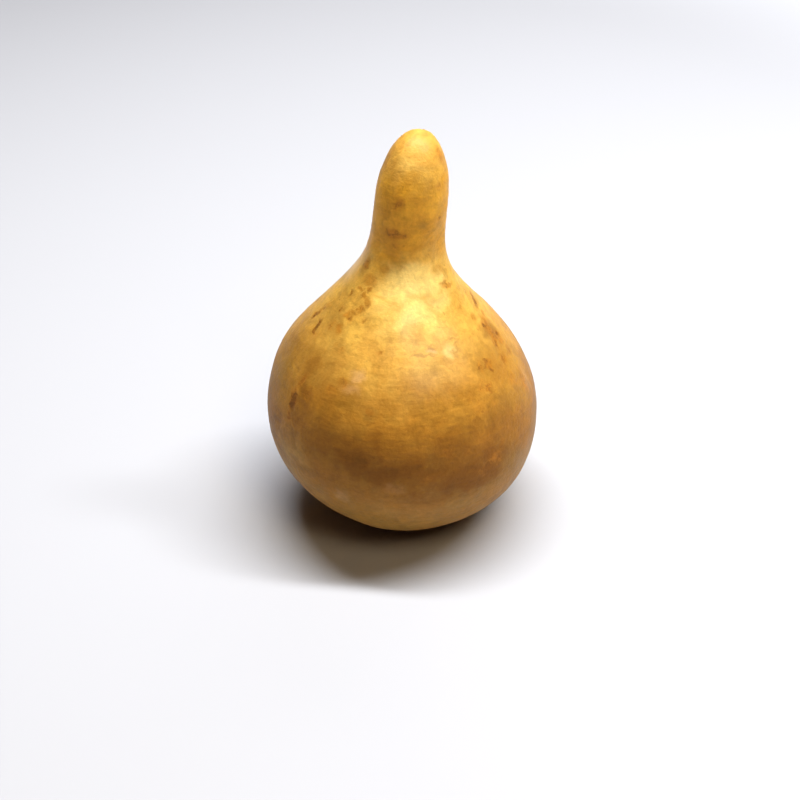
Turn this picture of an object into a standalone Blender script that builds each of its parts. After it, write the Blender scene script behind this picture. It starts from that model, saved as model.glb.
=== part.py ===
"""A small dried bottle gourd: a round belly that rises through a sloping shoulder into a short blunt neck.

Run it with: blender --background --python part.py, or from Blender's text editor.

The origin is the middle of the flat spot that the gourd rests on, with +Z up and -Y the side seen in front.
The gourd is one closed body. A half outline is turned round the axis with a Screw modifier, and every
point of the turned skin is then moved by three rules: the fruit is a little out of round, its axis leans
sideways as it rises, and the end of the neck curls backwards.
"""

import math

import bpy
import numpy as np

MM = 0.001

# The half outline, from the rim of the resting spot to the end of the neck, in millimetres: the radius,
# the distance up the axis, and how far the axis has leaned along X there.
FOOT_RADIUS = 5.0
BELLY_RADIUS = 16.8
NECK_RADIUS = 4.4
LENGTH = 49.3
OUTLINE = (
    (FOOT_RADIUS, 0.0, 0.0),
    (11.4, 3.0, -0.1),
    (15.1, 7.0, -0.5),
    (BELLY_RADIUS, 12.0, -1.0),
    (16.4, 17.5, -1.3),
    (13.8, 23.0, -1.6),
    (10.0, 27.5, -1.5),
    (7.0, 31.0, -1.3),
    (5.0, 34.5, -0.9),
    (NECK_RADIUS, 38.5, -0.4),
    (4.2, 43.0, 0.0),
    (3.8, 45.1, 0.2),
    (2.4, 47.9, 0.5),
    (0.0, LENGTH, 0.8),
)
ACROSS = (1.0, 0.0)
BACK_TO_AXIS = (-1.0, 0.0)

# The end of the neck bends backwards, evenly from this height on.
CURL_START = 41.0
CURL = math.radians(42.0)

# Out of round: how many swellings go round the fruit, their height as a share of the radius, and where the
# first one points. They fade out over this height above the resting spot.
LOBES = (
    (2, 0.012, math.radians(65.0)),
    (3, 0.006, math.radians(20.0)),
    (5, 0.0025, math.radians(110.0)),
)
LOBE_RISE = 4.0

# The shallow round scar at the end of the neck, where the stalk came off.
SCAR_RADIUS = 1.3
SCAR_DEPTH = 0.25

# Rings of the skin lie closer together where it is narrow: their spacing at the axis, and how it grows with
# the radius. The seam gap is in metres: points of the turned skin that are this close are one.
SIDES = 56
RING_GAP = 0.45
RING_GAP_PER_RADIUS = 0.075
FINE_STEPS = 2000
SEAM_GAP = 0.00001

SKIN_COLOUR = (0.56, 0.33, 0.10, 1.0)
SKIN_ROUGHNESS = 0.42


def clear_scene():
    for obj in list(bpy.data.objects):
        bpy.data.objects.remove(obj, do_unlink=True)


def smooth_step(value):
    """0 below 0 and 1 above 1, with an even rise between."""
    t = np.clip(value, 0.0, 1.0)
    return t * t * (3.0 - 2.0 * t)


def outline_slopes(points, gaps):
    """Slopes at the outline's points, chosen so that its bend is even through each of them."""
    count = len(points)
    weights = np.eye(count)
    slopes = np.zeros_like(points)
    slopes[0, :2] = ACROSS
    slopes[-1, :2] = BACK_TO_AXIS
    slopes[-1, 2] = (points[-1, 2] - points[-2, 2]) / gaps[-1]
    for i in range(1, count - 1):
        before, after = gaps[i - 1], gaps[i]
        weights[i, i - 1 : i + 2] = after, 2.0 * (before + after), before
        slopes[i] = 3.0 * after * (points[i] - points[i - 1]) / before
        slopes[i] += 3.0 * before * (points[i + 1] - points[i]) / after
    return np.linalg.solve(weights, slopes)


def outline_at(distances, points, gaps, slopes):
    """Points of the smooth outline at these distances along it, counted from one given point to the next."""
    starts = np.concatenate([[0.0], np.cumsum(gaps)])
    span = np.clip(np.searchsorted(starts, distances, side="right") - 1, 0, len(gaps) - 1)
    gap = gaps[span][:, None]
    t = (distances - starts[span])[:, None] / gap
    leave = (t**3 - 2.0 * t**2 + t) * gap * slopes[span]
    arrive = (t**3 - t**2) * gap * slopes[span + 1]
    blend = 3.0 * t**2 - 2.0 * t**3
    return (1.0 - blend) * points[span] + blend * points[span + 1] + leave + arrive


def skin_rings():
    """The radius, height and lean of each ring of the skin, from the resting spot up."""
    points = np.array(OUTLINE)
    gaps = np.hypot(*np.diff(points[:, :2], axis=0).T)
    slopes = outline_slopes(points, gaps)
    fine = np.linspace(0.0, gaps.sum(), FINE_STEPS)
    radius = outline_at(fine, points, gaps, slopes)[:, 0]
    density = 1.0 / (RING_GAP + RING_GAP_PER_RADIUS * radius)
    count = np.concatenate([[0.0], np.cumsum((density[1:] + density[:-1]) / 2.0 * np.diff(fine))])
    rings = math.ceil(count[-1])
    distances = np.interp(np.linspace(0.0, count[-1], rings + 1), count, fine)
    found = outline_at(distances, points, gaps, slopes)
    found[-1, 0] = 0.0
    return found


def turned_skin(name, rings):
    """The profile turned round the Z axis by a Screw modifier, as a mesh of its own."""
    profile = [(radius, 0.0, height) for radius, height, _ in rings[::-1]]
    profile.append((0.0, 0.0, 0.0))
    mesh = bpy.data.meshes.new(name + "_profile")
    mesh.from_pydata(np.array(profile) * MM, [(i, i + 1) for i in range(len(profile) - 1)], [])
    turned = bpy.data.objects.new(name + "_profile", mesh)
    bpy.context.scene.collection.objects.link(turned)
    screw = turned.modifiers.new("turn", "SCREW")
    screw.steps = SIDES
    screw.render_steps = SIDES
    screw.use_merge_vertices = True
    screw.merge_threshold = SEAM_GAP
    graph = bpy.context.evaluated_depsgraph_get()
    skin = bpy.data.meshes.new_from_object(turned.evaluated_get(graph))
    skin.name = name
    bpy.data.objects.remove(turned, do_unlink=True)
    bpy.data.meshes.remove(mesh)
    return skin


def grown(points, rings):
    """Moves the points of the turned skin, in millimetres, to where they are on the grown fruit."""
    x, y, height = points.T
    angle = np.arctan2(y, x)
    radius = np.hypot(x, y)
    swelling = sum(share * np.cos(count * (angle - first)) for count, share, first in LOBES)
    across = radius * (1.0 + smooth_step(height / LOBE_RISE) * swelling)
    lean = np.interp(height, rings[:, 1], rings[:, 2])
    near_end = height > LENGTH - SCAR_RADIUS
    dip = np.where(near_end, SCAR_DEPTH * smooth_step(1.0 - radius / SCAR_RADIUS), 0.0)
    height = height - dip
    bend = CURL / (LENGTH - CURL_START)
    turn = bend * np.clip(height - CURL_START, 0.0, None)
    axis_y = (1.0 - np.cos(turn)) / bend
    axis_z = np.minimum(height, CURL_START) + np.sin(turn) / bend
    depth = across * np.sin(angle)
    return np.stack(
        [lean + across * np.cos(angle), axis_y + depth * np.cos(turn), axis_z - depth * np.sin(turn)],
        axis=1,
    )


def skin_material():
    material = bpy.data.materials.new("gourd_skin")
    material.use_nodes = True
    shader = material.node_tree.nodes["Principled BSDF"]
    shader.inputs["Base Color"].default_value = SKIN_COLOUR
    shader.inputs["Roughness"].default_value = SKIN_ROUGHNESS
    shader.inputs["Metallic"].default_value = 0.0
    material.diffuse_color = SKIN_COLOUR
    return material


def make_gourd(collection):
    rings = skin_rings()
    mesh = turned_skin("gourd", rings)
    flat = np.empty(len(mesh.vertices) * 3)
    mesh.vertices.foreach_get("co", flat)
    moved = grown(flat.reshape(-1, 3) / MM, rings) * MM
    mesh.vertices.foreach_set("co", moved.ravel())
    mesh.update()
    mesh.shade_smooth()
    mesh.materials.append(skin_material())
    gourd = bpy.data.objects.new("gourd", mesh)
    collection.objects.link(gourd)
    return gourd


def main():
    clear_scene()
    bottle_gourd = bpy.data.collections.new("dried_bottle_gourd")
    bpy.context.scene.collection.children.link(bottle_gourd)
    make_gourd(bottle_gourd)


main()
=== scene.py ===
"""The finish of a small dried bottle gourd: its rind, the marks on it, and a plain studio to see it in.

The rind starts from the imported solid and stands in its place. The solid is refined into a fine skin, which gets
the slow dents of a dried fruit, a crease and ripples at its neck, pits, and the scars of its stalk and its
blossom. Its material is all nodes: a golden ground with clouds, stains, freckles, scratches and a waxy coat.
"""

import math
from typing import NamedTuple

import bmesh
import bpy
import numpy as np
from bpy.props import FloatProperty, FloatVectorProperty, IntProperty, PointerProperty
from mathutils import Matrix, Vector
from mathutils.bvhtree import BVHTree


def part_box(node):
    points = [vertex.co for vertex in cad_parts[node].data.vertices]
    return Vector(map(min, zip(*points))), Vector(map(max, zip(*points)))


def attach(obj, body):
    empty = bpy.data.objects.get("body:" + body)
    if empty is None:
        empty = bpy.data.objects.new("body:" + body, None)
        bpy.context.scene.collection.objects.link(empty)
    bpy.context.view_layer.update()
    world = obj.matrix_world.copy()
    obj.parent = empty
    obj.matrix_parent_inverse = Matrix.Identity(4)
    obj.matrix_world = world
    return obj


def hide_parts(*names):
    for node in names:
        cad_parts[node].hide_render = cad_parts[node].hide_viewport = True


bl_info = {
    "name": "Dried bottle gourd",
    "version": (1, 0, 0),
    "blender": (4, 5, 0),
    "location": "3D View > Sidebar > Gourd",
    "description": "Finishes a small dried bottle gourd and sets it in a plain studio",
    "category": "Add Mesh",
}

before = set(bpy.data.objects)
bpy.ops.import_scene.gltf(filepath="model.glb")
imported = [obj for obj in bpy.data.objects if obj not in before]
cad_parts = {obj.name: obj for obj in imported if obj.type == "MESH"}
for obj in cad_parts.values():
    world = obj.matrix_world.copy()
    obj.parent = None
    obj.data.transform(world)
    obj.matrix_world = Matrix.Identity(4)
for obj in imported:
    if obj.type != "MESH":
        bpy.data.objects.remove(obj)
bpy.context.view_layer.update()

NODE = "gourd"
BODY = "root"
MM = 0.001
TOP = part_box(NODE)[1].z / MM
# The rings that the flat foot is cut into: how many, and how wide each is in millimetres.
FOOT_RINGS = 8
FOOT_RING = 0.55


class Mark(NamedTuple):
    """A mark on the rind. Azimuth is in degrees round the fruit: 0 faces the front (-Y) and 90 the right (+X).
    The height and sizes are in millimetres. Turn is in degrees, from level, up to the right."""

    azimuth: float
    height: float
    length: float
    width: float
    turn: float
    strength: float


class RindShape(bpy.types.PropertyGroup):
    """Sizes of the rind's relief."""

    dent_depth: FloatProperty(
        name="Dent depth",
        description="Deepest of the slow dents that drying leaves",
        default=0.16 * MM,
        min=0.0,
        unit="LENGTH",
    )
    dent_width: FloatProperty(
        name="Dent width",
        description="Distance from one slow dent to the next",
        default=9.0 * MM,
        min=1.0 * MM,
        unit="LENGTH",
    )
    blossom_radius: FloatProperty(
        name="Blossom scar radius",
        description="Radius of the dimple under the belly, where the blossom was",
        default=2.0 * MM,
        min=0.0,
        unit="LENGTH",
    )
    blossom_depth: FloatProperty(
        name="Blossom scar depth",
        description="Depth of the dimple under the belly",
        default=0.28 * MM,
        min=0.0,
        unit="LENGTH",
    )
    scar_depth: FloatProperty(
        name="Scar depth",
        description="Depth of the pits and cracks in the scars of the stalk and the blossom",
        default=0.22 * MM,
        min=0.0,
        unit="LENGTH",
    )
    crease_depth: FloatProperty(
        name="Crease depth",
        description="Depth of the soft crease in front, where the neck leaves the shoulder",
        default=0.55 * MM,
        min=0.0,
        unit="LENGTH",
    )
    ripple_depth: FloatProperty(
        name="Ripple depth",
        description="Depth of the fine level ripples round the neck",
        default=0.035 * MM,
        min=0.0,
        unit="LENGTH",
    )
    pit_depth: FloatProperty(
        name="Pit depth",
        description="Depth of the pit at a strong stain",
        default=0.06 * MM,
        min=0.0,
        unit="LENGTH",
    )
    seed: IntProperty(
        name="Seed",
        description="Draw of the dents and of the marks that the front doesn't show",
        default=7,
        min=0,
    )


def tint(name, description, *colour):
    return FloatVectorProperty(
        name=name, description=description, subtype="COLOR", size=3, default=colour, min=0.0, max=1.0
    )


class RindColours(bpy.types.PropertyGroup):
    """Colours and gloss of the rind."""

    # Pale also paints the highlight at the front of the neck's root, and a small highlight on the right shoulder,
    # into the rind's colour.
    pale: tint("Pale", "Patches that the sun has bleached", 0.92, 0.68, 0.23)
    # The straw ring is lighter than the shoulder below it and partly paints the highlight round the neck's root
    # into the colour.
    straw_and_painted_highlight: tint("Straw", "The pale ring round the root of the neck", 0.74, 0.45, 0.09)
    honey: tint("Honey", "The ground colour of the neck", 0.695, 0.362, 0.036)
    gold: tint("Gold", "The ripe ground colour of the shoulder and the tip", 0.63, 0.365, 0.074)
    amber: tint("Amber", "The deeper ground colour of the belly", 0.44, 0.222, 0.032)
    brown: tint("Brown", "The ground colour of the lower belly", 0.33, 0.150, 0.019)
    russet: tint("Russet", "The dark clouds of the lower belly and the flanks", 0.215, 0.088, 0.009)
    tan: tint("Tan", "The dull skin under the belly", 0.41, 0.225, 0.060)
    olive: tint("Olive", "Greenish grey tinges left from the unripe skin", 0.27, 0.170, 0.038)
    orange: tint("Orange", "Orange brown smudges", 0.42, 0.175, 0.020)
    stain: tint("Stain", "Dark brown stains, dots and scratches", 0.155, 0.064, 0.012)
    # Scuff also paints a small highlight on the right shoulder.
    scuff_and_painted_glint: tint("Scuff", "Pale rubbed patches", 0.60, 0.37, 0.19)
    cork: tint("Cork", "The dry scars of the stalk and the blossom", 0.27, 0.165, 0.080)
    roughness: FloatProperty(
        name="Roughness",
        description="Mean roughness of the skin",
        subtype="FACTOR",
        default=0.46,
        min=0.0,
        max=1.0,
    )


class StudioLook(bpy.types.PropertyGroup):
    """The floor, the lights and the camera."""

    overhead_power: FloatProperty(
        name="Overhead power",
        description="Power of the soft light above",
        default=3.12,
        min=0.0,
        unit="POWER",
    )
    back_power: FloatProperty(
        name="Back power",
        description="Power of the soft light behind",
        default=0.6,
        min=0.0,
        unit="POWER",
    )
    side_power: FloatProperty(
        name="Side power",
        description="Power of the soft light to the right",
        default=0.37,
        min=0.0,
        unit="POWER",
    )
    side_colour: FloatVectorProperty(
        name="Side colour",
        description="Colour of the soft light to the right",
        subtype="COLOR",
        size=3,
        default=(1.0, 0.82, 0.55),
        min=0.0,
        max=1.0,
    )
    room: FloatProperty(
        name="Room light",
        description="Strength of the even light of the room",
        default=0.04,
        min=0.0,
    )
    lens: FloatProperty(
        name="Lens",
        description="Focal length of the camera",
        default=58.0,
        min=10.0,
        unit="CAMERA",
    )
    tilt: FloatProperty(
        name="Tilt",
        description="How far the camera looks down from level",
        subtype="ANGLE",
        default=math.radians(33.4),
    )


class Value:
    """An output socket of a material's nodes, with the arithmetic that adds Math nodes."""

    def __init__(self, nodes, socket):
        self.nodes = nodes
        self.socket = socket

    def _math(self, operation, first, second):
        return self.nodes.add("Math", {"operation": operation}, {0: first, 1: second})

    def __add__(self, other):
        return self._math("ADD", self, other)

    def __radd__(self, other):
        return self._math("ADD", other, self)

    def __sub__(self, other):
        return self._math("SUBTRACT", self, other)

    def __rsub__(self, other):
        return self._math("SUBTRACT", other, self)

    def __mul__(self, other):
        return self._math("MULTIPLY", self, other)

    def __rmul__(self, other):
        return self._math("MULTIPLY", other, self)

    def at_least(self, other):
        return self._math("MAXIMUM", self, other)


class Nodes:
    """Adds nodes to one material or world."""

    def __init__(self, owner):
        owner.use_nodes = True
        self.tree = owner.node_tree
        self.shader = self.tree.nodes.get("Principled BSDF")

    def feed(self, socket, value):
        if isinstance(value, Value):
            self.tree.links.new(value.socket, socket)
        elif isinstance(value, (tuple, list)) and len(value) == 3 and socket.type == "RGBA":
            socket.default_value = (*value, 1.0)
        else:
            socket.default_value = value

    def settle(self, values):
        """Sets sockets of the shader itself to values that are the same all over the surface."""
        for name, value in values.items():
            self.feed(self.shader.inputs[name], value)

    def add(self, kind, settings, sockets, output=0):
        """A node of this kind, with its settings set first and then its sockets fed, as one of its outputs."""
        node = self.tree.nodes.new("ShaderNode" + kind)
        for name, value in settings.items():
            if name == "stops":
                self.fill_ramp(node.color_ramp, value)
            else:
                setattr(node, name, value)
        for name, value in sockets.items():
            self.feed(node.inputs[name], value)
        return Value(self, node.outputs[output])

    def fill_ramp(self, ramp, stops):
        while len(ramp.elements) < len(stops):
            ramp.elements.new(1.0)
        for element, (position, colour) in zip(ramp.elements, stops):
            element.position = position
            element.color = (*colour, 1.0)

    def rise(self, value, low, high, top=1.0):
        """0 where value is at or below low and top where it is at or past high, with a soft step between."""
        return self.add(
            "MapRange",
            {"interpolation_type": "SMOOTHSTEP", "clamp": False},
            {"Value": value, "From Min": low, "From Max": high, "To Max": top},
        )

    def blend(self, factor, first, second, mode="MIX"):
        """Two colours mixed by a factor."""
        settings = {"data_type": "RGBA", "blend_type": mode, "clamp_factor": True}
        return self.add("Mix", settings, {0: factor, 6: first, 7: second}, output=2)

    def vector(self, operation, first, second):
        return self.add("VectorMath", {"operation": operation}, {0: first, 1: second})

    def noise(self, where, width, detail=3.0, roughness=0.55, shift=0.0):
        """Noise whose lumps are about this many millimetres wide. Shift draws another field."""
        sockets = {"Vector": where, "W": shift, "Scale": 1.0 / width, "Detail": detail, "Roughness": roughness}
        return self.add("TexNoise", {"noise_dimensions": "4D"}, sockets)

    def cells(self, where, width, feature="F1"):
        return self.add("TexVoronoi", {"feature": feature}, {"Vector": where, "Scale": 1.0 / width})


def smooth_step(value):
    t = np.clip(value, 0.0, 1.0)
    return t * t * (3.0 - 2.0 * t)


def part_way(value, start, end):
    """0 at start and 1 at end, with an even rise between, where start may lie above end."""
    return smooth_step((value - start) / (end - start))


def of_vertices(mesh, name):
    """This vector of each of the mesh's vertices, such as co or normal."""
    flat = np.empty(len(mesh.vertices) * 3)
    mesh.vertices.foreach_get(name, flat)
    return flat.reshape(-1, 3)


# A face of the foot faces down at least this straight and lies at most this high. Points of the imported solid
# closer than the seam gap are one. All but the first are in millimetres.
FOOT_FACING = -0.99
FOOT_HEIGHT = 0.01
SEAM_GAP = 0.001


def ring_foot(packed):
    """Replaces the fan of triangles in the flat foot by rings, so that the blossom's scar can be cut there."""
    foot = [
        face
        for face in packed.faces
        if face.normal.z < FOOT_FACING and face.calc_center_median().z < FOOT_HEIGHT * MM
    ]
    faces = bmesh.ops.dissolve_faces(packed, faces=foot, use_verts=True)["region"]
    for _ in range(FOOT_RINGS):
        bmesh.ops.inset_region(packed, faces=faces, thickness=FOOT_RING * MM, use_even_offset=True)
    bmesh.ops.poke(packed, faces=faces)


def fine_skin(name):
    """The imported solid's skin in four-sided faces, divided twice, as a new mesh."""
    packed = bmesh.new()
    packed.from_mesh(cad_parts[NODE].data)
    bmesh.ops.remove_doubles(packed, verts=packed.verts, dist=SEAM_GAP * MM)
    ring_foot(packed)
    bmesh.ops.join_triangles(
        packed, faces=packed.faces, angle_face_threshold=0.7, angle_shape_threshold=1.2
    )
    coarse = bpy.data.meshes.new(name + "_coarse")
    packed.to_mesh(coarse)
    packed.free()
    cage = bpy.data.objects.new(name + "_cage", coarse)
    bpy.context.scene.collection.objects.link(cage)
    divide = cage.modifiers.new("divide", "SUBSURF")
    divide.levels = 2
    graph = bpy.context.evaluated_depsgraph_get()
    skin = bpy.data.meshes.new_from_object(cage.evaluated_get(graph))
    skin.name = name
    bpy.data.objects.remove(cage, do_unlink=True)
    bpy.data.meshes.remove(coarse)
    return skin


class Scar(NamedTuple):
    """A round dry scar, in millimetres: its middle, the way it faces, the radius of its rim, and its cracks."""

    middle: tuple
    facing: tuple
    rim: float
    cracks: int


# The stalk's scar, on the end of the neck, and the blossom's, under the belly.
SCARS = (
    Scar((0.8, 2.74, 48.39), (0.0, 0.67, 0.74), 1.3, 9),
    Scar((0.0, 0.0, 0.0), (0.0, 0.0, -1.0), 1.5, 6),
)

# The crease, in degrees and millimetres: where it lies, and how far it reaches down and up from its height.
CREASE_AZIMUTH = 12.0
CREASE_HEIGHT = 36.3
CREASE_BELOW = 6.5
CREASE_ABOVE = 4.5

# Other relief, in millimetres: the height over which the dents come in above the foot and fade out below the
# top, the heights between which the neck's ripples come in and fade out, and the radius of a stain's pit.
DENTS_RISE = 3.0
DENTS_FADE = 4.0
RIPPLES_RISE = (30.0, 36.0)
RIPPLES_FADE = (47.5, 45.5)
RIPPLE_WIDTH = 1.1
PIT_RADIUS = 0.7


def slow_waves(points, width, seed, count=28):
    """A smooth random field from about -1 to 1, summed from waves of about this width that run every way."""
    draw = np.random.default_rng(seed)
    ways = draw.normal(size=(count, 3))
    ways /= np.linalg.norm(ways, axis=1, keepdims=True)
    lengths = width * draw.uniform(0.7, 1.5, count)
    phases = draw.uniform(0.0, math.tau, count)
    waves = np.cos(points @ (ways / lengths[:, None] * math.tau).T + phases)
    return waves.sum(axis=1) / math.sqrt(2.0 * count)


def crease(points, surface_middle):
    """0 away from the crease in front of the neck's root and 1 in it: soft below it and sharper above."""
    height = points[:, 2]
    azimuth = np.arctan2(points[:, 0] - surface_middle[0], surface_middle[1] - points[:, 1])
    facing = smooth_step((np.cos(azimuth - math.radians(CREASE_AZIMUTH)) - 0.15) / 0.6)
    below = smooth_step(1.0 - (CREASE_HEIGHT - height) / CREASE_BELOW)
    above = smooth_step(1.0 - (height - CREASE_HEIGHT) / CREASE_ABOVE)
    return facing * np.where(height < CREASE_HEIGHT, below, above)


def scar_relief(points, scar, seed):
    """How deep the skin sinks in a scar, as a share: a pit in its middle, cracks round it and a groove inside
    its rim, over corky lumps."""
    away = points - np.array(scar.middle)
    facing = np.array(scar.facing)
    across = away - (away @ facing)[:, None] * facing
    side = np.cross(facing, (1.0, 0.0, 0.0))
    side /= np.linalg.norm(side)
    angle = np.arctan2(across @ side, across[:, 0])
    reach = np.linalg.norm(across, axis=1) / scar.rim
    near = smooth_step((1.0 - reach) / 0.15) * (np.linalg.norm(away, axis=1) < 1.5 * scar.rim)
    pit = smooth_step(1.0 - reach / 0.32)
    wander = 0.5 * slow_waves(points, 1.2, seed)
    cracks = np.cos(angle * scar.cracks / 2.0 + wander) ** 12 * smooth_step((reach - 0.15) / 0.2)
    groove = smooth_step(1.0 - np.abs(reach - 0.84) / 0.12)
    lumps = smooth_step(0.5 + 0.35 * slow_waves(points, 0.5, seed + 1))
    return near * (0.45 * pit + 0.35 * cracks + 0.30 * groove + 0.25 * lumps)


def weather(mesh, shape, marks):
    """Sinks the skin's slow dents, the crease, ripples, pits and scars. Nothing is raised, so the size holds."""
    surface = Surface(mesh)
    points = of_vertices(mesh, "co") / MM
    normals = of_vertices(mesh, "normal")
    width = shape.dent_width / MM
    field = slow_waves(points, width, shape.seed) + 0.4 * slow_waves(points, width / 2.4, shape.seed + 1)
    sink = shape.dent_depth / MM * smooth_step(0.5 + 0.3 * field)
    height = points[:, 2]
    sink *= smooth_step(height / DENTS_RISE) * smooth_step((TOP - height) / DENTS_FADE)
    sink += shape.crease_depth / MM * crease(points, surface.middle_at(CREASE_HEIGHT))
    ripples = slow_waves(points * (0.25, 0.25, 1.0), RIPPLE_WIDTH, shape.seed + 2, count=40)
    on_neck = part_way(height, *RIPPLES_RISE) * part_way(height, *RIPPLES_FADE)
    sink += shape.ripple_depth / MM * on_neck * smooth_step(0.5 + 0.3 * ripples)
    for mark in marks["stains"]:
        place, _ = surface.frame_at(mark)
        near = 1.0 - np.linalg.norm(points - np.array(place), axis=1) / PIT_RADIUS
        sink += shape.pit_depth / MM * mark.strength * smooth_step(near)
    for index, scar in enumerate(SCARS):
        sink += shape.scar_depth / MM * scar_relief(points, scar, shape.seed + 10 * (index + 1))
    moved = points - normals * sink[:, None]
    from_middle = np.hypot(points[:, 0], points[:, 1]) / (shape.blossom_radius / MM)
    dimple = smooth_step(1.0 - from_middle) - 0.5 * smooth_step(1.0 - from_middle * 3.0)
    moved[:, 2] += shape.blossom_depth / MM * dimple * (points[:, 2] < 1.0)
    mesh.vertices.foreach_set("co", (moved * MM).ravel())
    mesh.update()


class Surface:
    """Finds places on the rind by their azimuth and height."""

    def __init__(self, mesh):
        self.points = of_vertices(mesh, "co") / MM
        polygons = [tuple(polygon.vertices) for polygon in mesh.polygons]
        self.tree = BVHTree.FromPolygons([Vector(point) for point in self.points], polygons)

    def middle_at(self, height):
        """The middle of the fruit at this height."""
        near = np.abs(self.points[:, 2] - height) < 0.7
        middle = Vector(self.points[near].mean(axis=0))
        middle.z = height
        return middle

    def frame_at(self, mark):
        """A point of the rind in millimetres, with a matrix whose columns run along, up and out of it there."""
        middle = self.middle_at(mark.height)
        angle = math.radians(mark.azimuth)
        place, out, _, _ = self.tree.ray_cast(middle, Vector((math.sin(angle), -math.cos(angle), 0.0)))
        if place is None:
            raise ValueError(f"no rind at {mark}")
        along = Vector((0.0, 0.0, 1.0)).cross(out).normalized()
        up = out.cross(along)
        turn = math.radians(mark.turn)
        first = math.cos(turn) * along + math.sin(turn) * up
        second = math.cos(turn) * up - math.sin(turn) * along
        return place, Matrix((first, second, out)).transposed()


# The marks that the front shows, by kind.
CLOUDS = (
    Mark(-18.0, 16.4, 8.8, 8.1, 0.0, 0.90),
    Mark(-20.0, 18.7, 6.8, 4.9, 0.0, 0.55),
    Mark(-2.5, 16.0, 14.9, 6.2, 0.0, 0.92),
    Mark(21.0, 18.0, 8.1, 6.8, 0.0, 0.65),
    Mark(15.0, 15.4, 10.8, 5.7, 0.0, 0.75),
    Mark(36.0, 15.0, 10.5, 6.6, 0.0, 0.78),
    Mark(-46.0, 21.6, 5.9, 6.2, 0.0, 0.85),
    Mark(-31.0, 18.0, 9.0, 8.0, 0.0, 0.50),
    Mark(27.0, 13.0, 14.0, 8.0, 0.0, 1.00),
    Mark(-50.0, 24.6, 14.0, 9.0, 0.0, 0.62),
    Mark(-26.0, 23.4, 11.0, 6.0, 0.0, 0.52),
    Mark(58.0, 24.5, 10.0, 8.0, 0.0, 0.38),
    Mark(10.0, 23.8, 15.0, 7.0, 0.0, 0.40),
    Mark(-60.0, 28.6, 11.0, 6.5, 0.0, 0.45),
    Mark(-74.0, 24.0, 11.0, 12.0, 0.0, 0.50),
    Mark(-8.0, 18.8, 8.0, 4.5, 0.0, 0.50),
    Mark(8.0, 11.8, 13.0, 5.5, 0.0, 0.58),
    Mark(77.0, 25.4, 8.0, 6.0, 0.0, 0.75),
)
POLISHED = (
    Mark(16.0, 30.5, 17.0, 15.0, 0.0, 1.00),
    Mark(30.0, 26.0, 16.0, 12.0, 0.0, 0.80),
)
TINGES = (
    Mark(-12.8, 21.9, 2.5, 2.1, 0.0, 0.90),
    Mark(19.5, 40.0, 2.0, 1.5, 0.0, 0.80),
    Mark(-60.0, 34.4, 1.3, 3.6, -15.0, 0.90),
    Mark(-37.0, 26.9, 4.7, 2.1, 0.0, 0.50),
    Mark(-72.0, 22.0, 9.1, 12.6, 0.0, 0.60),
    Mark(52.0, 12.6, 6.5, 7.0, 0.0, 0.60),
    Mark(17.0, 44.6, 5.2, 6.2, 0.0, 0.50),
)
SMUDGES = (
    Mark(-42.8, 31.6, 1.5, 1.5, 0.0, 0.90),
    Mark(-36.1, 31.2, 1.5, 2.1, 0.0, 1.00),
    Mark(-37.9, 30.5, 1.7, 1.7, 0.0, 1.00),
    Mark(-42.9, 30.0, 2.0, 1.5, 0.0, 0.90),
    Mark(-47.2, 29.5, 2.2, 1.7, 0.0, 0.95),
    Mark(-61.3, 31.4, 1.6, 1.4, 60.0, 0.65),
    Mark(-50.6, 32.1, 2.2, 1.1, 0.0, 0.65),
    Mark(-40.2, 32.3, 1.7, 1.0, 0.0, 0.65),
    Mark(-64.7, 34.3, 1.8, 3.6, -15.0, 0.85),
    Mark(-45.4, 33.1, 3.8, 2.6, 0.0, 0.55),
    Mark(-55.4, 28.1, 2.6, 2.2, 0.0, 0.60),
    Mark(-46.5, 28.2, 2.0, 2.2, 0.0, 0.60),
    Mark(-34.6, 26.8, 3.6, 2.4, 0.0, 0.55),
    Mark(-77.5, 28.8, 3.4, 2.0, 60.0, 0.45),
    Mark(-8.0, 35.1, 5.4, 2.6, 0.0, 0.36),
    Mark(-28.0, 34.6, 3.0, 2.2, 0.0, 0.55),
    Mark(51.0, 34.0, 3.4, 2.2, 0.0, 0.42),
    Mark(-21.0, 38.8, 4.4, 2.4, 0.0, 1.00),
    Mark(-18.8, 37.5, 3.8, 1.8, 0.0, 0.35),
    Mark(-19.0, 42.5, 2.2, 2.2, 20.0, 0.80),
    Mark(56.0, 46.8, 3.0, 4.6, 0.0, 0.55),
    Mark(-65.0, 46.2, 3.0, 6.0, 0.0, 0.50),
    Mark(64.0, 32.0, 4.4, 1.2, -15.0, 0.60),
    Mark(88.0, 28.5, 3.6, 1.2, 36.0, 0.85),
    Mark(84.5, 27.4, 2.2, 1.4, 36.0, 0.70),
    Mark(68.5, 28.1, 2.0, 2.0, 0.0, 0.65),
    Mark(62.0, 29.7, 1.6, 1.2, 0.0, 0.45),
    Mark(77.0, 26.7, 3.2, 2.4, 40.0, 0.95),
    Mark(76.0, 25.9, 3.0, 2.6, 40.0, 1.00),
    Mark(79.5, 25.2, 2.4, 1.8, 40.0, 1.00),
    Mark(71.0, 25.1, 3.2, 2.2, 55.0, 0.95),
    Mark(77.0, 24.5, 2.4, 1.8, 40.0, 0.85),
    Mark(78.4, 23.4, 2.6, 1.5, 45.0, 0.75),
    Mark(70.8, 23.3, 2.0, 1.3, 60.0, 0.75),
    Mark(54.6, 24.2, 2.8, 2.4, 0.0, 0.95),
    Mark(49.0, 24.4, 3.4, 2.8, 0.0, 0.70),
    Mark(46.9, 22.3, 2.2, 1.8, 0.0, 0.85),
    Mark(45.0, 22.8, 4.0, 3.2, 0.0, 0.55),
    Mark(66.0, 21.2, 4.0, 4.0, 0.0, 0.45),
    Mark(75.0, 19.8, 2.6, 5.0, 0.0, 0.55),
    Mark(40.0, 14.8, 5.0, 2.4, 20.0, 0.70),
)
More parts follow.
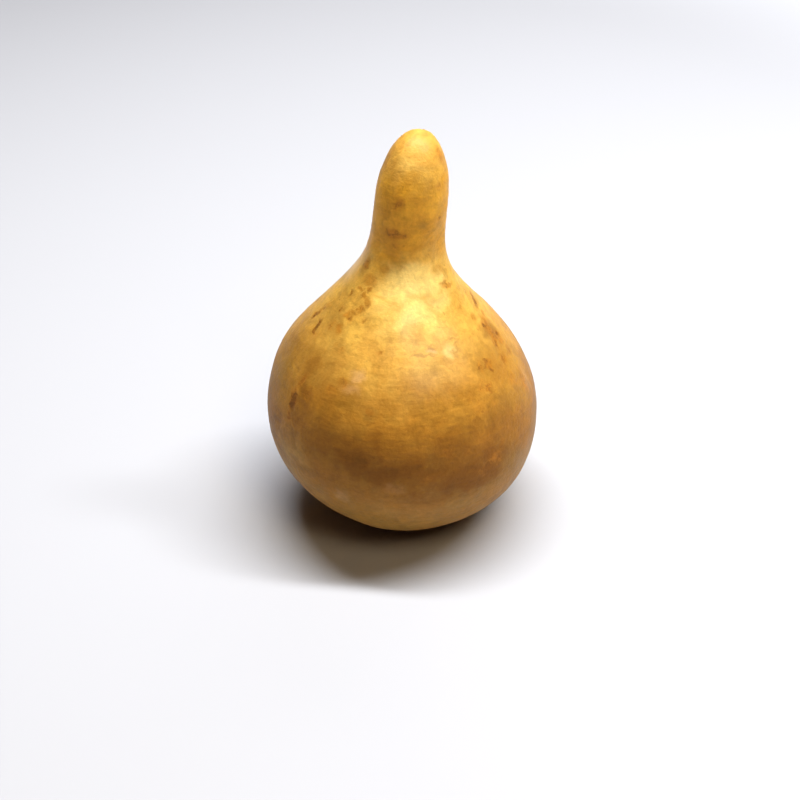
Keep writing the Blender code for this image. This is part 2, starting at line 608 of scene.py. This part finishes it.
STAINS = (
    Mark(-18.3, 42.5, 1.4, 1.2, 0.0, 0.48),
    Mark(-21.0, 38.7, 2.6, 1.0, 0.0, 0.42),
    Mark(45.4, 40.4, 1.1, 1.2, 0.0, 0.62),
    Mark(40.0, 44.2, 1.0, 1.2, 0.0, 0.55),
    Mark(-61.0, 34.9, 1.2, 2.4, 0.0, 0.48),
    Mark(-59.2, 31.3, 2.6, 1.2, 70.0, 0.65),
    Mark(-45.3, 29.4, 2.2, 1.4, 20.0, 0.75),
    Mark(-59.3, 29.5, 1.3, 1.6, 0.0, 0.65),
    Mark(-81.0, 27.4, 3.8, 1.5, 73.0, 0.85),
    Mark(-78.5, 28.3, 2.2, 1.0, 40.0, 0.60),
    Mark(-69.0, 27.1, 3.2, 1.4, 109.0, 0.90),
    Mark(-65.5, 26.5, 1.6, 1.4, 0.0, 0.75),
    Mark(-47.7, 28.2, 2.2, 2.2, 0.0, 0.55),
    Mark(-57.4, 28.0, 2.4, 2.0, 0.0, 0.50),
    Mark(-30.6, 29.7, 1.2, 1.4, 0.0, 0.50),
    Mark(-6.9, 27.3, 1.2, 1.2, 0.0, 0.55),
    Mark(-29.6, 24.3, 2.8, 2.0, 0.0, 0.50),
    Mark(-33.5, 23.5, 2.6, 2.4, 0.0, 0.50),
    Mark(-53.9, 20.6, 3.8, 2.0, -79.0, 1.00),
    Mark(-53.4, 19.7, 2.8, 2.0, -79.0, 0.90),
    Mark(-52.2, 22.6, 3.6, 1.2, 80.0, 0.75),
    Mark(-54.5, 18.3, 2.8, 1.6, -80.0, 0.60),
    Mark(-46.0, 21.8, 3.2, 4.4, 0.0, 0.45),
    Mark(-12.8, 21.9, 2.1, 1.9, 0.0, 0.55),
    Mark(60.0, 32.3, 3.4, 0.9, -20.0, 0.55),
    Mark(69.0, 31.9, 2.0, 0.8, 10.0, 0.52),
    Mark(88.5, 28.6, 4.4, 1.1, 36.0, 0.75),
    Mark(75.2, 26.7, 1.9, 1.4, 40.0, 0.75),
    Mark(80.0, 25.2, 1.9, 1.7, 0.0, 0.95),
    Mark(72.0, 24.9, 3.4, 1.1, 60.0, 0.65),
    Mark(69.0, 23.4, 2.1, 1.2, 80.0, 0.80),
    Mark(54.2, 24.4, 2.1, 1.8, -30.0, 0.75),
    Mark(54.7, 23.6, 1.4, 2.0, 0.0, 0.85),
    Mark(47.4, 22.0, 1.6, 1.5, 0.0, 0.75),
    Mark(45.3, 16.0, 3.2, 1.3, 90.0, 0.60),
    Mark(42.6, 14.4, 3.2, 1.6, 80.0, 0.50),
    Mark(36.4, 14.2, 5.0, 1.8, 14.0, 0.65),
    Mark(33.9, 13.3, 1.9, 1.6, 20.0, 0.70),
    Mark(19.4, 17.4, 2.8, 2.1, 0.0, 0.55),
    Mark(27.7, 16.7, 2.1, 1.8, 0.0, 0.50),
    Mark(9.1, 14.5, 2.3, 2.0, 0.0, 0.50),
)
SCRATCHES = (
    Mark(26.2, 27.5, 1.7, 0.54, -35.0, 0.75),
    Mark(19.0, 26.95, 4.6, 0.41, -6.0, 0.70),
    Mark(14.6, 27.0, 1.1, 0.6, -6.0, 0.75),
    Mark(40.6, 27.7, 1.3, 0.54, -30.0, 0.65),
    Mark(43.0, 27.2, 1.2, 0.42, 35.0, 0.55),
    Mark(32.8, 29.0, 1.8, 0.42, -25.0, 0.50),
    Mark(-28.0, 28.2, 1.4, 0.42, -20.0, 0.45),
)
SCUFFS_AND_PAINTED_GLINT = (
    Mark(-21.9, 25.1, 3.2, 2.6, 0.0, 0.75),
    Mark(-24.0, 24.0, 3.6, 2.0, 0.0, 0.45),
    Mark(-25.6, 11.1, 3.0, 3.4, 0.0, 0.50),
    Mark(25.6, 27.2, 1.7, 1.0, -35.0, 0.80),
    Mark(-3.0, 13.6, 4.0, 2.4, 0.0, 0.40),
    Mark(79.0, 19.2, 2.6, 6.0, 0.0, 0.55),
    # This pale patch, with the pale patch at the same place, paints the small highlight on the right shoulder;
    # the other scuffs are rubbed patches.
    Mark(37.0, 26.8, 2.2, 1.8, 0.0, 0.55),
)

# Pale patches. Those at the front of the neck's root and the small one at 37 degrees are painted highlights; the
# others, and those drawn for the unseen side, are pale patches of the skin.
BLEACH_AND_PAINTED_HIGHLIGHT = (
    Mark(13.0, 33.5, 12.0, 6.3, 0.0, 1.00),
    Mark(14.0, 30.2, 12.0, 7.0, 0.0, 0.60),
    Mark(-22.0, 31.4, 7.0, 5.0, 0.0, 0.32),
    Mark(48.0, 31.4, 6.0, 5.0, 0.0, 0.55),
    Mark(-52.0, 14.5, 12.0, 11.0, 0.0, 0.22),
    Mark(37.0, 26.8, 3.0, 2.6, 0.0, 0.55),
    Mark(-14.0, 46.6, 5.0, 3.4, 0.0, 0.30),
)

# What the unseen side gets of each kind: how many, their lengths and widths in millimetres and their strengths.
UNSEEN = {
    "clouds": (12, (6.0, 15.0), (3.0, 8.0), (0.25, 0.65)),
    "bleach_and_painted_highlight": (3, (7.0, 12.0), (4.0, 7.0), (0.20, 0.45)),
    "polished": (5, (9.0, 17.0), (8.0, 14.0), (0.50, 1.00)),
    "tinges": (8, (1.5, 7.0), (1.2, 5.0), (0.40, 0.80)),
    "smudges": (22, (1.4, 5.0), (1.2, 3.0), (0.45, 1.00)),
    "stains": (28, (1.0, 4.0), (0.9, 2.0), (0.45, 0.95)),
    "scratches": (9, (1.3, 4.6), (0.4, 0.6), (0.45, 0.75)),
    "scuffs_and_painted_glint": (6, (1.6, 4.0), (1.2, 3.0), (0.35, 0.70)),
}
MARK_DEPTH = 3.0
UNSEEN_SIDE = (98.0, 262.0)
UNSEEN_HEIGHTS = (6.0, 45.0)


def unseen_marks(kind, draw):
    """Marks of one kind, strewn over the side that the front view doesn't show."""
    count, lengths, widths, strengths = UNSEEN[kind]
    marks = []
    for _ in range(count):
        low, high = UNSEEN_HEIGHTS
        height = low + (high - low) * draw.beta(1.2, 1.6)
        azimuth, turn = draw.uniform(*UNSEEN_SIDE), draw.uniform(-90.0, 90.0)
        length, width = draw.uniform(*lengths), draw.uniform(*widths)
        marks.append(Mark(azimuth, height, length, width, turn, draw.uniform(*strengths)))
    return marks


def near_mark(nodes, where, surface, mark):
    """1 at the middle of a mark, falling to 0 at its edge."""
    place, turned = surface.frame_at(mark)
    sizes = (mark.length / 2.0, mark.width / 2.0, max(MARK_DEPTH, 0.6 * mark.length))
    local = nodes.add(
        "Mapping",
        {"vector_type": "TEXTURE"},
        {"Vector": where, "Location": tuple(place), "Rotation": turned.to_euler(), "Scale": sizes},
    )
    near = nodes.add("TexGradient", {"gradient_type": "SPHERICAL"}, {"Vector": local}, output=1)
    return nodes.rise(near, 0.0, 0.9, mark.strength)


def any_of(nodes, where, surface, marks):
    """The strongest of these marks at each place."""
    found = near_mark(nodes, where, surface, marks[0])
    for mark in marks[1:]:
        found = found.at_least(near_mark(nodes, where, surface, mark))
    return found


def all_marks(seed):
    """The marks of each kind, those that the front shows first."""
    draw = np.random.default_rng(seed)
    shown = {
        "clouds": CLOUDS,
        "bleach_and_painted_highlight": BLEACH_AND_PAINTED_HIGHLIGHT,
        "polished": POLISHED,
        "tinges": TINGES,
        "smudges": SMUDGES,
        "stains": STAINS,
        "scratches": SCRATCHES,
        "scuffs_and_painted_glint": SCUFFS_AND_PAINTED_GLINT,
    }
    return {kind: [*marks, *unseen_marks(kind, draw)] for kind, marks in shown.items()}


# Gloss of the rind that is the same all over it.
GLOSS = {"Specular IOR Level": 0.17, "Coat Roughness": 0.36, "Coat IOR": 1.65}


def rind_material(colours, surface, marks):
    """The rind: bands of ground colour up the fruit, then clouds, tinges, smudges, stains and freckles."""
    material = bpy.data.materials.new("dried_rind")
    nodes = Nodes(material)
    position = nodes.add("TexCoord", {}, {}, output=3)
    where = nodes.add("VectorMath", {"operation": "SCALE"}, {0: position, "Scale": 1.0 / MM})
    height = nodes.add("SeparateXYZ", {}, {"Vector": where}, output=2)

    def strayed(reach, width):
        """Each place moved a little, at random, so that edges drawn on it turn ragged."""
        stray = nodes.add(
            "TexNoise",
            {"noise_dimensions": "3D"},
            {"Vector": where, "Scale": 1.0 / width, "Detail": 3.0},
            output=1,
        )
        stray = nodes.vector("SUBTRACT", stray, (0.5, 0.5, 0.5))
        stray = nodes.add("VectorMath", {"operation": "SCALE"}, {0: stray, "Scale": reach})
        return nodes.vector("ADD", where, stray)

    soft_edged = strayed(5.0, 4.0)
    ragged = strayed(1.3, 0.9)

    outwards = nodes.vector("MULTIPLY", where, (1.0, 1.0, 0.0))
    outwards = nodes.add("VectorMath", {"operation": "NORMALIZE"}, {0: outwards})
    downwards = nodes.vector("MULTIPLY", where, (0.0, 0.0, 0.022))
    streaked = nodes.vector("ADD", outwards, downwards)
    levelled = nodes.vector("MULTIPLY", where, (0.22, 0.22, 1.0))

    def cloudy(place, width, shift, spread=0.16, detail=3.0):
        """Noise spread out to run from 0 to 1."""
        return nodes.rise(nodes.noise(place, width, detail, 0.55, shift), 0.5 - spread, 0.5 + spread)

    slow = nodes.noise(where, 11.0, detail=2.0)
    patches = cloudy(soft_edged, 6.0, 2.0)
    warmth = cloudy(ragged, 2.8, 4.0, spread=0.13)
    mottle = cloudy(soft_edged, 2.4, 3.0, detail=4.0)
    flecks = cloudy(ragged, 0.9, 9.0, spread=0.20)
    streaks = cloudy(streaked, 0.075, 5.0, spread=0.20, detail=4.0)
    ripples = nodes.noise(levelled, 0.55, detail=3.0, roughness=0.55, shift=6.0)
    grain = nodes.noise(where, 0.42, detail=4.0, roughness=0.65, shift=8.0)
    threads = nodes.rise(nodes.noise(ragged, 0.6, 4.0, 0.7, shift=12.0), 0.48, 0.64)

    names = ("pale", "straw_and_painted_highlight", "honey", "gold", "amber", "brown", "russet")
    pale, straw_and_painted_highlight, honey, gold, amber, brown, russet = (tuple(getattr(colours, name)) for name in names)
    names = ("tan", "olive", "orange", "stain", "scuff_and_painted_glint", "cork")
    tan, olive, orange, stain, scuff_and_painted_glint, cork = (tuple(getattr(colours, name)) for name in names)
    level = (height + (slow - 0.5) * 8.0 + (mottle - 0.5) * 1.6) * (1.0 / TOP)
    stops = [
        (0.0, tan),
        (0.20, tan),
        (0.29, brown),
        (0.35, brown),
        (0.44, amber),
        (0.54, gold),
        # The straw ring is lighter than the gold below it and partly paints the highlight round the neck's root.
        (0.62, straw_and_painted_highlight),
        (0.70, straw_and_painted_highlight),
        (0.75, honey),
        (0.88, honey),
        (0.95, gold),
    ]
    ground = nodes.add("ValToRGB", {"stops": stops}, {0: level})
    unripe = nodes.rise(height, 41.0, 27.0, 0.15) + 0.07
    ground = nodes.blend(patches * unripe, ground, olive)
    ground = nodes.blend(warmth * 0.30, ground, orange)

    masks = {}
    for kind, found in marks.items():
        edge = soft_edged if kind in ("clouds", "bleach_and_painted_highlight", "polished") else ragged
        masks[kind] = any_of(nodes, edge, surface, found)
    clouds = nodes.rise(masks["clouds"] * (0.75 + patches * 0.45) + mottle * 0.45, 0.15, 1.35)
    bleach_and_painted_highlight = nodes.rise(masks["bleach_and_painted_highlight"] * 1.1 + mottle * 0.16, 0.08, 1.10)
    tinges = masks["tinges"] * (0.5 + mottle * 0.5)
    smudges = nodes.rise(masks["smudges"] * (0.35 + flecks * 0.55 + mottle * 0.35), 0.05, 0.75)
    halos = nodes.rise(masks["stains"] * (0.45 + flecks * 0.55), 0.02, 0.65)
    stains = nodes.rise(masks["stains"] * (0.20 + threads * 0.35 + grain * 0.9), 0.22, 0.78)
    scratches = masks["scratches"]
    scuffs_and_painted_glint = masks["scuffs_and_painted_glint"] * (0.4 + mottle * 0.6)

    # Pale patches: at the front of the neck's root and on the right shoulder this paints the highlight into the
    # colour.
    ground = nodes.blend(bleach_and_painted_highlight * 0.85, ground, pale)
    ground = nodes.blend(clouds * 0.85, ground, russet)
    ground = nodes.blend(tinges * 0.75, ground, olive)
    # Scuffs, one of which paints the small highlight on the right shoulder.
    ground = nodes.blend(scuffs_and_painted_glint * 0.60, ground, scuff_and_painted_glint)
    ground = nodes.blend((smudges * 0.72).at_least(halos * 0.72), ground, orange)
    dark = (stains * 0.86).at_least(scratches * 0.55).at_least(smudges * threads * 0.55)
    ground = nodes.blend(dark, ground, stain)

    freckle = nodes.cells(ragged, 1.1)
    freckles = nodes.rise(freckle, 0.20, 0.06) * streaks * flecks
    ground = nodes.blend(freckles * 0.55, ground, stain)

    cracks = nodes.rise(nodes.cells(where, 0.45, "DISTANCE_TO_EDGE"), 0.11, 0.02)
    scars = None
    for scar in SCARS:
        away = nodes.add("VectorMath", {"operation": "DISTANCE"}, {0: where, 1: scar.middle}, output=1)
        away = away + (grain - 0.5) * 0.9
        rind_edge = nodes.rise(away, scar.rim, 0.80 * scar.rim)
        heart = nodes.rise(away, 0.55 * scar.rim, 0.10 * scar.rim)
        ground = nodes.blend(rind_edge * (0.75 + mottle * 0.25), ground, cork)
        ground = nodes.blend((heart * 0.85).at_least(rind_edge * cracks * 0.7), ground, stain)
        scars = scars.at_least(rind_edge) if scars else rind_edge

    shine = 0.46 + patches * 0.08 + mottle * 0.20 + flecks * 0.18
    shine = shine + streaks * 0.04 + ripples * 0.22 + grain * 0.40
    shade = nodes.add("HueSaturation", {}, {"Value": shine, "Color": ground})
    nodes.feed(nodes.shader.inputs["Base Color"], shade)
    nodes.settle(GLOSS)
    waxy = nodes.rise(masks["polished"], 0.0, 0.8) * (0.82 + mottle * 0.14) * (1.0 - stains * 0.6)
    nodes.feed(nodes.shader.inputs["Coat Weight"], waxy * 0.9 + 0.05)
    rough = colours.roughness + (grain - 0.5) * 0.14 + (mottle - 0.5) * 0.06 + stains * 0.15 + scars * 0.35
    nodes.feed(nodes.shader.inputs["Roughness"], rough)
    relief = grain * 0.50 + ripples * 0.75 + mottle * 0.3
    bump = nodes.add("Bump", {}, {"Strength": 0.45, "Distance": 0.00022, "Height": relief})
    nodes.feed(nodes.shader.inputs["Normal"], bump)
    return material


class GOURD_OT_make_rind(bpy.types.Operator):
    """Makes the gourd's fine rind, with its relief and its material"""

    bl_idname = "gourd.make_rind"
    bl_label = "Make the rind"

    def execute(self, context):
        shape = context.scene.gourd_shape
        marks = all_marks(shape.seed)
        mesh = fine_skin("rind")
        weather(mesh, shape, marks)
        mesh.shade_smooth()
        mesh.materials.clear()
        mesh.materials.append(rind_material(context.scene.gourd_colours, Surface(mesh), marks))
        rind = bpy.data.objects.new("rind", mesh)
        context.scene.collection.objects.link(rind)
        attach(rind, BODY)
        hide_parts(NODE)
        return {"FINISHED"}


class Panel(NamedTuple):
    """A soft panel of light, in metres: its middle, the point it faces, its length across and its width. Turn is
    in degrees, seen from above."""

    place: tuple
    aim: tuple
    length: float
    width: float
    turn: float


# The camera's place and the floor's size, in metres. The camera looks along +Y.
CAMERA_PLACE = (-0.0014, -0.1331, 0.1022)
FLOOR_SIZE = 6.0
FLOOR_COLOUR = (0.482, 0.495, 0.530)
ROOM_COLOUR = (1.0, 0.55, 0.44)
# The far floor and the room's walls look this pale. The floor's own glow comes in over these distances from its
# middle, which is left of the gourd and behind it.
PALE = (0.74, 0.76, 0.80)
GLOW_MIDDLE = (-0.04, 0.09, 0.0)
GLOW_RISE = (0.14, 0.34)
OVERHEAD = Panel((0.11, 0.03, 0.40), (0.11, 0.0, 0.0), 0.50, 0.04, -7.0)
BACK = Panel((0.16, 0.40, 0.30), (0.16, 0.36, 0.0), 0.50, 0.20, 0.0)
SIDE = Panel((0.11, -0.22, 0.34), (0.0, 0.0, 0.03), 0.14, 0.14, 0.0)


def add_light(name, panel, power, colour=(1.0, 1.0, 1.0)):
    lamp = bpy.data.lights.new(name, "AREA")
    lamp.shape = "RECTANGLE"
    lamp.size, lamp.size_y = panel.length, panel.width
    lamp.energy = power
    lamp.color = colour
    light = bpy.data.objects.new(name, lamp)
    bpy.context.scene.collection.objects.link(light)
    light.location = panel.place
    facing = (Vector(panel.aim) - Vector(panel.place)).to_track_quat("-Z", "Y").to_matrix()
    light.rotation_euler = (facing @ Matrix.Rotation(math.radians(panel.turn), 3, "Z")).to_euler()


def floor_material():
    material = bpy.data.materials.new("pale_floor")
    nodes = Nodes(material)
    nodes.settle({"Base Color": FLOOR_COLOUR, "Roughness": 0.7, "Specular IOR Level": 0.2})
    place = nodes.add("TexCoord", {}, {}, output=3)
    from_middle = nodes.add("VectorMath", {"operation": "DISTANCE"}, {0: place, 1: GLOW_MIDDLE}, output=1)
    glow = nodes.blend(nodes.rise(from_middle, *GLOW_RISE), (0.0, 0.0, 0.0), PALE)
    nodes.feed(nodes.shader.inputs["Emission Color"], glow)
    nodes.settle({"Emission Strength": 1.0})
    return material


def pale_room(strength):
    """A dim warm room whose walls look pale where they are seen past the floor."""
    world = bpy.data.worlds.new("room")
    nodes = Nodes(world)
    dim = nodes.tree.nodes["Background"]
    nodes.feed(dim.inputs["Color"], ROOM_COLOUR)
    nodes.feed(dim.inputs["Strength"], strength)
    walls = nodes.add("Background", {}, {"Color": PALE})
    seen_straight = nodes.add("LightPath", {}, {})
    room = nodes.add("MixShader", {}, {0: seen_straight, 1: Value(nodes, dim.outputs[0]), 2: walls})
    nodes.feed(nodes.tree.nodes["World Output"].inputs["Surface"], room)
    return world


class GOURD_OT_set_studio(bpy.types.Operator):
    """Lays the pale floor and sets the soft lights and the camera"""

    bl_idname = "gourd.set_studio"
    bl_label = "Set the studio"

    def execute(self, context):
        look = context.scene.gourd_studio
        floor_mesh = bpy.data.meshes.new("floor")
        half = FLOOR_SIZE / 2.0
        corners = [(-half, -half, 0.0), (half, -half, 0.0), (half, half, 0.0), (-half, half, 0.0)]
        floor_mesh.from_pydata(corners, [], [(0, 1, 2, 3)])
        floor_mesh.materials.append(floor_material())
        floor = bpy.data.objects.new("floor", floor_mesh)
        context.scene.collection.objects.link(floor)
        add_light("overhead", OVERHEAD, look.overhead_power)
        add_light("back", BACK, look.back_power)
        add_light("side", SIDE, look.side_power, tuple(look.side_colour))
        context.scene.world = pale_room(look.room)
        context.scene.view_settings.view_transform = "Standard"
        context.scene.view_settings.look = "Medium High Contrast"
        lens = bpy.data.cameras.new("camera")
        lens.lens = look.lens
        camera = bpy.data.objects.new("camera", lens)
        context.scene.collection.objects.link(camera)
        camera.location = CAMERA_PLACE
        camera.rotation_euler = (math.pi / 2.0 - look.tilt, 0.0, 0.0)
        context.scene.camera = camera
        return {"FINISHED"}


class GOURD_PT_sidebar(bpy.types.Panel):
    """Lists the gourd's steps and settings"""

    bl_idname = "GOURD_PT_sidebar"
    bl_label = "Dried bottle gourd"
    bl_space_type = "VIEW_3D"
    bl_region_type = "UI"
    bl_category = "Gourd"

    def draw(self, context):
        groups = (
            (context.scene.gourd_shape, GOURD_OT_make_rind.bl_idname),
            (context.scene.gourd_colours, None),
            (context.scene.gourd_studio, GOURD_OT_set_studio.bl_idname),
        )
        for settings, operator in groups:
            box = self.layout.box()
            for name in settings.__annotations__:
                box.prop(settings, name)
            if operator:
                box.operator(operator)


CLASSES = (
    RindShape,
    RindColours,
    StudioLook,
    GOURD_OT_make_rind,
    GOURD_OT_set_studio,
    GOURD_PT_sidebar,
)


def register():
    for one in CLASSES:
        bpy.utils.register_class(one)
    bpy.types.Scene.gourd_shape = PointerProperty(type=RindShape)
    bpy.types.Scene.gourd_colours = PointerProperty(type=RindColours)
    bpy.types.Scene.gourd_studio = PointerProperty(type=StudioLook)


def unregister():
    del bpy.types.Scene.gourd_studio
    del bpy.types.Scene.gourd_colours
    del bpy.types.Scene.gourd_shape
    for one in reversed(CLASSES):
        bpy.utils.unregister_class(one)


def main():
    register()
    bpy.ops.gourd.make_rind()
    bpy.ops.gourd.set_studio()


if __name__ == "__main__":
    main()
